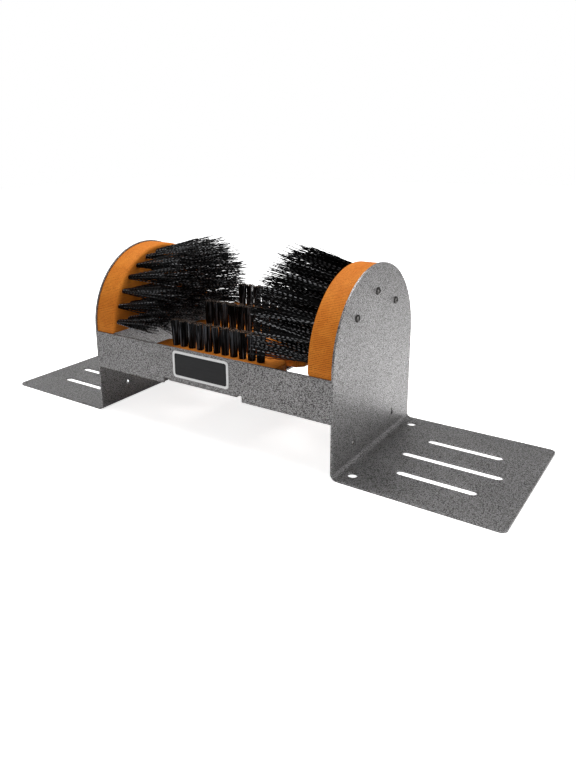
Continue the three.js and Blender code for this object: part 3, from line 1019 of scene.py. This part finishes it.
@dataclass
class Brushes:
    """Brushes of one kind: wooden blocks, each with the tufts of bristle planted in it."""

    wood: StainedWood
    bristle: StiffBristle
    recipe: TuftRecipe
    tuft: Tuft
    seed: int
    word: ClassVar[str]
    stations: ClassVar[type[Station]]
    strand_sharp_degrees: ClassVar[float] = 60.0

    def block(self, name: str, station: Station) -> bpy.types.Object:
        """Build one bare wooden block."""
        raise NotImplementedError

    def spots(self, station: Station) -> list[Spot]:
        """List where one block's tufts are planted."""
        raise NotImplementedError

    def build(self) -> None:
        """Build, dress and place every block and its bristles."""
        wood, bristle = self.wood.material(), self.bristle.material()
        for station in self.stations:
            node = f"{self.word}_block_{station.label}"
            block = self.block(f"{node}_wood", station)
            dress(block, wood)
            place(block, "brush_wood", node)
            node = f"{self.word}_bristles_{station.label}"
            strands = self.recipe.run(
                f"{node}_strands", self.spots(station), self.strand_sharp_degrees,
                seed=self.seed + station.value, material=bristle, **self.tuft.values())
            place(strands, "bristle", node)


@dataclass
class SideBrushes(Brushes):
    """The two arched side brushes: rounded half-round blocks with rings of splayed tufts."""

    tuft: Tuft = Tuft(
        strands=44, steps=16, sides=3, strand_radius_mm=0.45, root_radius_mm=3.1,
        tip_radius_mm=11.5, length_spread=0.1, stray_mm=4.6, crimp_mm=0.35, core_height_mm=1.5)
    seed: int = 11
    lean_seed: int = 50
    plate_inside_mm: float = 176.0
    thickness_mm: float = 31.0
    bottom_mm: float = 113.5
    edge_mm: float = 4.5
    edge_steps: int = 5
    arch_steps: int = 84
    sharp_degrees: float = 40.0
    ring_margin_mm: float = 8.6
    ring_step_mm: float = 20.0
    ring_count: int = 5
    tuft_pitch_mm: float = 21.3
    lowest_mm: float = 14.5
    length_mm: float = 80.0
    low_length_mm: float = 71.0
    low_tip_mm: float = 162.5
    fan: float = 1.12
    fan_height_mm: float = 75.0
    tuck_mm: float = 3.6
    inner_splay: float = 1.2
    lean_mm: float = 1.8
    inner_lean_mm: float = 5.0
    word: ClassVar[str] = "side"
    stations: ClassVar[type[Station]] = End

    @property
    def face_mm(self) -> float:
        """X of the blocks' inner faces, on the right end."""
        return self.plate_inside_mm - self.thickness_mm

    def outline(self, inset_mm: float) -> list[Span]:
        """Trace the half-round up one side, over the arch and down the other.

        Args:
            inset_mm: How far inside the block's edge.

        Returns:
            The points, as (y, z) in millimetres.
        """
        radius = ARCH_RADIUS_MM - inset_mm
        points = [(radius, self.bottom_mm + inset_mm)]
        for step in range(self.arch_steps + 1):
            angle = math.pi * step / self.arch_steps
            points.append((radius * math.cos(angle), ARCH_CENTRE_MM + radius * math.sin(angle)))
        points.append((-radius, self.bottom_mm + inset_mm))
        return points

    def block(self, name: str, station: End) -> bpy.types.Object:
        """Build one wooden block, its inner edge rounded in a quarter circle.

        Args:
            name: The block's name.
            station: The end that it is for.

        Returns:
            The block.
        """
        rings = [(self.plate_inside_mm, 0.0)]
        for step in range(self.edge_steps + 1):
            angle = math.pi / 2 * step / self.edge_steps
            rings.append((
                self.face_mm + self.edge_mm * (1 - math.sin(angle)),
                self.edge_mm * (1 - math.cos(angle))))
        outlines = [[station.turned(x, y, z) for y, z in self.outline(inset)] for x, inset in rings]
        return smoothed(lofted(name, outlines), self.sharp_degrees)

    def tufts(self) -> list[tuple[int, float, float]]:
        """List the tufts from the outer ring inwards.

        Returns:
            Each tuft as (ring, y, z), in millimetres.
        """
        lowest = self.bottom_mm + self.lowest_mm - ARCH_CENTRE_MM
        places = []
        for ring in range(self.ring_count):
            radius = ARCH_RADIUS_MM - self.ring_margin_mm - ring * self.ring_step_mm
            start = math.asin(lowest / radius)
            sweep = math.pi - 2 * start
            gaps = max(1, round(sweep * radius / self.tuft_pitch_mm))
            for index in range(gaps + 1):
                angle = start + sweep * index / gaps
                places.append((
                    ring, radius * math.cos(angle), ARCH_CENTRE_MM + radius * math.sin(angle)))
        return places

    def spots(self, station: End) -> list[Spot]:
        """Fan one side's tufts out, with the outer ring tucked in and each one leaning a little.

        Args:
            station: The end that they are for.

        Returns:
            Where each tuft is planted.
        """
        dice = random.Random(self.lean_seed + station.value)
        spots = []
        for ring, y, z in self.tufts():
            lean = self.inner_lean_mm if ring else self.lean_mm
            tuck = 0.0 if ring else self.tuck_mm / ARCH_RADIUS_MM
            rise = (self.fan - 1) * (z - self.fan_height_mm) - tuck * (z - ARCH_CENTRE_MM)
            spread = (self.fan - 1 - tuck) * y
            length = self.low_length_mm if z + rise < self.low_tip_mm else self.length_mm
            reach = station.turned(
                -length, spread + dice.uniform(-lean, lean), rise + dice.uniform(-lean, lean))
            across = reach.cross(Vector((0, 0, 1))).normalized()
            root = station.turned(self.face_mm, y, z)
            spots.append(Spot(root, reach, across, self.inner_splay if ring else 1.0))
        return spots


@dataclass
class BottomBrushes(Brushes):
    """The three bottom brushes, each a clipped wooden bar with one row of upright tufts."""

    tuft: Tuft = Tuft(
        strands=44, steps=7, sides=4, strand_radius_mm=0.52, root_radius_mm=4.5,
        tip_radius_mm=5.9, length_spread=0.035, stray_mm=1.0, crimp_mm=0.1, core_height_mm=2.5)
    seed: int = 31
    length_mm: float = 184.0
    width_mm: float = 42.0
    thickness_mm: float = 28.0
    clip_mm: float = 8.0
    edge_mm: float = 1.4
    edge_steps: int = 3
    sharper_than: float = 30.0
    rise_mm: float = 10.5
    front_top_mm: float = 104.5
    tuft_counts: tuple[int, ...] = (11, 11, 10)
    tuft_pitch_mm: float = 13.0
    bristle_mm: float = 34.0
    word: ClassVar[str] = "bottom"
    stations: ClassVar[type[Station]] = Row

    def place_of(self, row: Row) -> Span:
        """Y of a row's middle, and Z of its bar's top."""
        return (row.value - 1) * ROW_PITCH_MM, self.front_top_mm + row.value * self.rise_mm

    def block(self, name: str, station: Row) -> bpy.types.Object:
        """Build one wooden bar, with its corners clipped and its edges broken.

        Args:
            name: The bar's name.
            station: The row that it is for.

        Returns:
            The bar.
        """
        middle, top = self.place_of(station)
        x, y, clip = self.length_mm / 2, self.width_mm / 2, self.clip_mm
        corners = (
            (-x + clip, -y), (x - clip, -y), (x, -y + clip), (x, y - clip),
            (x - clip, y), (-x + clip, y), (-x, y - clip), (-x, -y + clip))
        bar = lofted(name, [
            [Vector((u, middle + v, z)) * MM for u, v in corners]
            for z in (top - self.thickness_mm, top)])
        return softened(bar, self.edge_mm, self.edge_steps, self.sharper_than)

    def spots(self, station: Row) -> list[Spot]:
        """Stand one row's tufts upright, each turned its own way.

        Args:
            station: The row that they are for.

        Returns:
            Where each tuft is planted.
        """
        middle, top = self.place_of(station)
        count = self.tuft_counts[station.value]
        return [
            Spot(Vector(((index - (count - 1) / 2) * self.tuft_pitch_mm, middle, top)) * MM,
                 Vector((0, 0, self.bristle_mm * MM)),
                 Vector((math.cos(index), math.sin(index), 0)))
            for index in range(count)
        ]


@dataclass
class Bearers:
    """The stepped wooden bearers under the bottom brushes, which keep their CAD shape."""

    wood: StainedWood

    def build(self, frame: dict) -> None:
        """Dress both bearers.

        Args:
            frame: The loaded frame.
        """
        wood = self.wood.material()
        for end in End:
            node = frame["nodes"][f"bearer_{end.label}"]
            dress(node, wood)
            LOG.info("%s: kept from the frame", node.name)


@dataclass
class Screws:
    """Every screw: three through each upright and six up through the bridge."""

    finish: ZincPlate
    recipe: ScrewRecipe
    plate_face_mm: float = 178.5
    circle_mm: float = 70.0
    angles: tuple[int, ...] = (45, 90, 135)
    bridge_mm: float = 67.5
    spread_mm: float = 38.0
    head_mm: float = 8.8
    height_mm: float = 2.6
    skirt_mm: float = 0.9
    shank_mm: float = 4.5
    grip_mm: float = 24.0
    dome_power: float = 2.6
    edge_shares: tuple[float, ...] = (1.0, 0.97, 0.89)
    shoulder_share: float = 0.76
    recess_width_mm: float = 1.5
    recess_reach_mm: float = 2.6
    recess_depth_mm: float = 1.7
    recess_taper: float = 0.7
    ray_degrees: tuple[int, ...] = (31, 45, 59)
    turn_degrees: float = 31.0
    sharp_degrees: float = 35.0

    def dome(self, radius: float) -> float:
        """Height of the head's domed top at a radius, in millimetres."""
        fall = (2 * radius / self.head_mm) ** self.dome_power
        return self.skirt_mm + (self.height_mm - self.skirt_mm) * (1 - fall)

    def cross(self, angle: float) -> float:
        """Measure the cross recess along a ray from its middle.

        Args:
            angle: The ray's angle, in radians.

        Returns:
            The recess's radius there, in millimetres.
        """
        off = abs((angle + math.pi / 4) % (math.pi / 2) - math.pi / 4)
        reach = self.recess_reach_mm / math.cos(off)
        return min(reach, self.recess_width_mm / 2 / math.sin(off)) if off else reach

    def screw(self) -> bpy.types.Object:
        """Build one screw along Z: a shank, a pan head and its cross recess.

        Returns:
            The screw, as one closed skin.
        """
        corner = math.atan2(self.recess_width_mm / 2, self.recess_reach_mm)
        quarter = (0.0, corner, *map(math.radians, self.ray_degrees), math.pi / 2 - corner)
        rays = [turn * math.pi / 2 + angle for turn in range(4) for angle in quarter]
        crosses = [self.cross(angle) for angle in rays]
        head, shank = self.head_mm / 2, self.shank_mm / 2
        shoulder = self.shoulder_share * self.head_mm / 2
        rings = [[(radius, height)] * len(rays)
                 for radius, height in ((shank, -self.grip_mm), (shank, 0.0), (head, 0.0))]
        domed = [[share * head] * len(rays) for share in self.edge_shares]
        for blend in (1.0, 0.5, 0.0):
            domed.append([radius + blend * (shoulder - radius) for radius in crosses])
        rings += [[(radius, self.dome(radius)) for radius in ring] for ring in domed]
        bottom = self.height_mm - self.recess_depth_mm
        rings.append([(self.recess_taper * radius, bottom) for radius in crosses])
        return lofted("screw", [
            [Vector((radius * math.cos(angle), radius * math.sin(angle), height)) * MM
             for angle, (radius, height) in zip(rays, ring)] for ring in rings])

    def sets(self) -> list[tuple[str, str, list[Spot]]]:
        """List the sets of screws of the uprights and of the bridge.

        Returns:
            Each set's name, the stem of its CAD screws' names, and where they sit.
        """
        across = Vector((0, 1, 0))
        sets = []
        for end in End:
            spots = []
            for angle in map(math.radians, self.angles):
                root = end.turned(
                    self.plate_face_mm, self.circle_mm * math.cos(angle),
                    ARCH_CENTRE_MM + self.circle_mm * math.sin(angle))
                spots.append(Spot(root, Vector((end.value, 0, 0)), across))
            sets.append((f"side_screws_{end.label}", f"side_screw_{end.label}", spots))
        sets.append(("bottom_screws", "bottom_screw", [
            Spot(Vector((side * self.spread_mm, row * ROW_PITCH_MM, self.bridge_mm)) * MM,
                 Vector((0, 0, -1)), across)
            for row in (-1, 0, 1) for side in (-1, 1)]))
        return sets

    def build(self) -> None:
        """Build and place every set from copies of one screw."""
        finish = self.finish.material()
        screw = self.screw()
        for name, stem, spots in self.sets():
            piece = self.recipe.run(
                name, spots, self.sharp_degrees, screw=screw,
                turn=math.radians(self.turn_degrees), material=finish)
            place(piece, "screw", *(f"{stem}_{index + 1}" for index in range(len(spots))))
        bpy.data.objects.remove(screw)


# Studio


@dataclass(frozen=True)
class SoftBox:
    """One area lamp."""

    name: str
    place_m: Point
    aim_m: Point
    size_m: float
    watts: float

    def build(self) -> None:
        """Hang the lamp."""
        lamp = bpy.data.lights.new(self.name, "AREA")
        lamp.shape = "SQUARE"
        lamp.size = self.size_m
        lamp.energy = self.watts
        holder = new_object(self.name, lamp)
        holder.location = self.place_m
        aim = Vector(self.aim_m) - Vector(self.place_m)
        holder.rotation_euler = aim.to_track_quat("-Z", "Y").to_euler()


@dataclass
class Studio:
    """White sweep, soft lamps and the camera at the photograph's viewpoint."""

    boxes: tuple[SoftBox, ...]
    paper: SweepPaper
    ambient: float = 0.26
    mirrored_room: float = 0.36
    floor_half_m: float = 4.0
    floor_drop_mm: float = 0.2
    eye_mm: Point = (494.3, -691.9, 361.8)
    yaw: float = 0.643
    pitch: float = 0.264
    roll: float = -0.024
    focal_px: float = 681.757
    centre_px: Span = (233.724, 319.144)
    frame_px: tuple[int, int] = (576, 768)
    sensor_mm: float = 36.0
    nearest_m: float = 0.02

    def camera(self) -> None:
        """Set up the camera that the photograph's straight edges were solved for."""
        tall = max(self.frame_px)
        lens = bpy.data.cameras.new("photo_camera")
        lens.sensor_width = self.sensor_mm
        lens.sensor_fit = "AUTO"
        lens.lens = self.focal_px * self.sensor_mm / tall
        lens.shift_x = (self.frame_px[0] / 2 - self.centre_px[0]) / tall
        lens.shift_y = (self.centre_px[1] - self.frame_px[1] / 2) / tall
        lens.clip_start = self.nearest_m
        holder = new_object("photo_camera", lens)
        holder.matrix_world = Matrix.Translation(Vector(self.eye_mm) * MM)
        for angle, axis in ((self.yaw, "Z"), (math.pi / 2 - self.pitch, "X"), (self.roll, "Z")):
            holder.matrix_world @= Matrix.Rotation(angle, 4, axis)
        bpy.context.scene.camera = holder

    def world(self) -> None:
        """Light the room evenly, and show it white to the camera and through glass.

        Gloss sees it dimmer, as the room round the photograph's sweep was.
        """
        world = bpy.data.worlds.new("white_room")
        bpy.context.scene.world = world
        world.use_nodes = True
        add = partial(add_node, world.node_tree)
        rays = add("ShaderNodeLightPath").node.outputs
        strength = add(MATH, "MULTIPLY", rays["Is Glossy Ray"], self.mirrored_room)
        for other in (rays["Is Camera Ray"], rays["Is Transmission Ray"], self.ambient):
            strength = add(MATH, "MAXIMUM", strength, other)
        feed(world.node_tree.nodes["Background"], {"Color": WHITE, "Strength": strength})

    def floor(self) -> None:
        """Lay the floor just under the object."""
        half = self.floor_half_m
        z = -self.floor_drop_mm * MM
        mesh = bpy.data.meshes.new("floor")
        mesh.from_pydata([(-half, -half, z), (half, -half, z), (half, half, z), (-half, half, z)],
                         [], [(0, 1, 2, 3)])
        piece = new_object("floor", mesh)
        dress(piece, self.paper.material())

    def build(self) -> None:
        """Set up camera, room, floor and lamps."""
        self.camera()
        self.world()
        self.floor()
        for box in self.boxes:
            box.build()
        bpy.context.scene.view_settings.view_transform = "Standard"


def main() -> None:
    """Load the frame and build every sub-assembly on it."""
    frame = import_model()
    tufts = TuftRecipe("bristle_tufts")
    side_wood = StainedWood("orange_stained_block", Cut.ARCH)
    bar_wood = StainedWood("orange_stained_bar", Cut.BAR)
    crimped = StiffBristle("crimped_polypropylene_bristle")
    # Its painted highlights run as long, soft streaks.
    straight = StiffBristle(
        "straight_polypropylene_bristle", body="#030303", glint="#6E7279", tip="#7C6C60",
        crimp_mm=60.0, rarity=2.2, length_mm=34.0, specular=0.15)
    SteelFrame(HammertonePaint()).build(frame)
    NamePlate(
        PrintedFoil("white_printed_rim", "#E8E8E8", "#DADADA", (0.32, 0.52)),
        PrintedFoil("charcoal_printed_foil", "#242426", "#1C1C1E", (0.37, 0.57), 0.2)).build()
    SideBrushes(side_wood, crimped, tufts).build()
    BottomBrushes(bar_wood, straight, tufts).build()
    Bearers(bar_wood).build(frame)
    Screws(ZincPlate(), ScrewRecipe("pan_head_screws")).build()
    Studio((
        SoftBox("right_softbox", (1.8, 0.3, 0.32), (0.1, 0.0, 0.1), 0.8, 15.0),
        SoftBox("front_softbox", (0.6, -1.7, 0.9), (0.0, 0.0, 0.1), 1.0, 4.5),
        SoftBox("top_softbox", (-0.2, 0.2, 1.5), (0.0, 0.0, 0.1), 1.2, 27.0),
    ), SweepPaper()).build()


if __name__ == "__main__":
    logging.basicConfig(level=logging.INFO, format="%(message)s")
    main()
